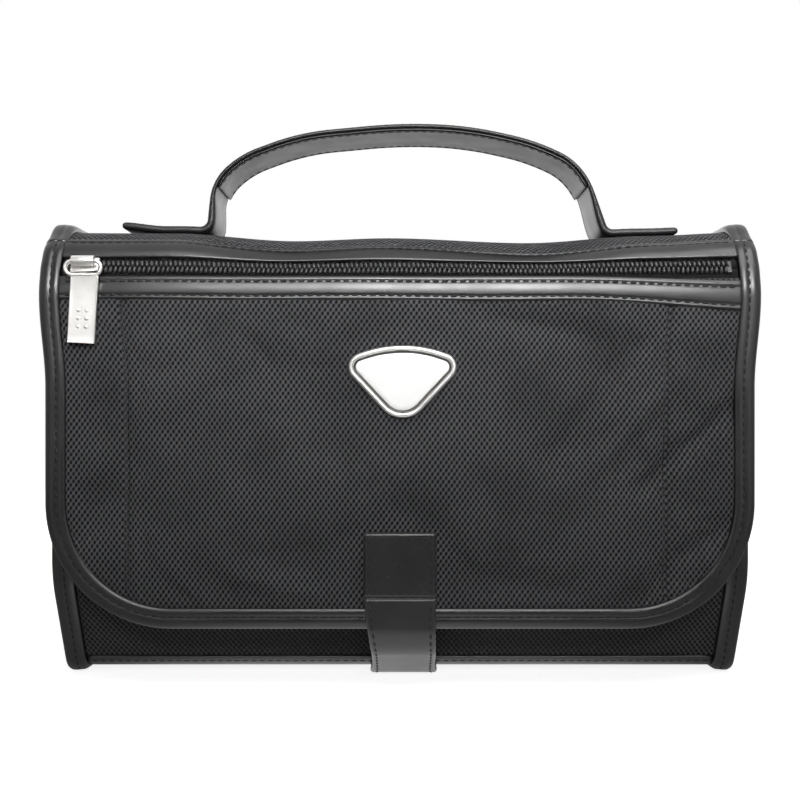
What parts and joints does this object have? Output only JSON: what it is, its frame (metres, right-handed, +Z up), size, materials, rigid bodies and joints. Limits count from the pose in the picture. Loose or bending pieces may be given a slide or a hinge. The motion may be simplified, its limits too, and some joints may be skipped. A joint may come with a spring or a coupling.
{
  "type": "toiletry bag",
  "caption": "Fold-over toiletry bag with zipped front flap, wrap-under closure strap and top handle, leather-bound black fabric",
  "frame": {"origin": "middle of the closed bag's width on the face it stands on, just in front of its mid depth", "axes": "+X to the viewer's right along the bag's width, -Y to the front flap, +Z up"},
  "size_m": [0.28, 0.0795, 0.2327],
  "materials": {
    "woven_fabric": "black ballistic weave",
    "lining_fabric": "smooth black lining cloth",
    "foam": "soft padding",
    "board": "stiffener sheet",
    "leather": "smooth black leather",
    "zipper_tape": "woven tape",
    "zipper_nylon": "black nylon",
    "satin_metal": "satin nickel",
    "white_enamel": "gloss white enamel",
    "hook_and_loop": "hook and loop tape",
    "elastic": "woven elastic"
  },
  "bodies": {
    "root": {"outer_shell": "woven_fabric", "body_foam": "foam", "lining": "lining_fabric", "bottom_board": "board", "back_board": "board", "gusset_left": "woven_fabric", "gusset_right": "woven_fabric", "body_binding_left": "leather", "body_binding_right": "leather", "mouth_binding": "leather", "bottom_trim": "leather", "inner_pocket": "lining_fabric", "pocket_elastic": "elastic", "loop_patch": "hook_and_loop", "handle_tab_left": "leather", "handle_tab_right": "leather"},
    "flap": {"flap_panel": "woven_fabric", "flap_crown": "woven_fabric", "flap_foam": "foam", "flap_lining": "lining_fabric", "pocket_bag": "lining_fabric", "flap_binding": "leather", "upper_trim": "leather", "lower_trim": "leather", "zipper_tape_upper": "zipper_tape", "zipper_tape_lower": "zipper_tape", "zipper_coil_upper": "zipper_nylon", "zipper_coil_lower": "zipper_nylon", "zipper_stops": "satin_metal", "badge_rim": "satin_metal", "badge_face": "white_enamel", "badge_prongs": "satin_metal", "badge_back_plate": "satin_metal", "strap_base": "leather"},
    "strap": {"closure_strap": "leather"},
    "strap_end": {"strap_tip": "leather", "hook_patch": "hook_and_loop"},
    "handle": {"handle_strap": "leather", "handle_grip": "leather"},
    "slider": {"slider_body": "satin_metal", "slider_crown": "satin_metal"},
    "pull": {"pull_tab": "satin_metal"}
  },
  "joints": [
    {"name": "flap_hinge", "type": "hinge", "parent": "root", "child": "flap", "pos_m": [0, -0.02654, 0.17987], "axis": [-1, 0, 0], "range_deg": [0, 160]},
    {"name": "strap_peel", "type": "hinge", "parent": "flap", "child": "strap", "pos_m": [0, -0.0404, 0.038], "axis": [-1, 0, 0], "range_deg": [0, 110]},
    {"name": "strap_end_peel", "type": "hinge", "parent": "strap", "child": "strap_end", "pos_m": [0, -0.003, 0], "axis": [-1, 0, 0], "range_deg": [0, 75]},
    {"name": "handle_swing", "type": "hinge", "parent": "root", "child": "handle", "pos_m": [0, 0.002, 0.204], "axis": [-1, 0, 0], "range_deg": [-20, 50], "stiffness_Nm_per_rad": 0.03},
    {"name": "zip_slide", "type": "slide", "parent": "flap", "child": "slider", "axis": [1, 0, 0], "range_m": [0, 0.248]},
    {"name": "pull_lift", "type": "hinge", "parent": "slider", "child": "pull", "pos_m": [-0.124, -0.0394, 0.16945], "axis": [1, 0, 0], "range_deg": [-105, 0]}
  ]
}
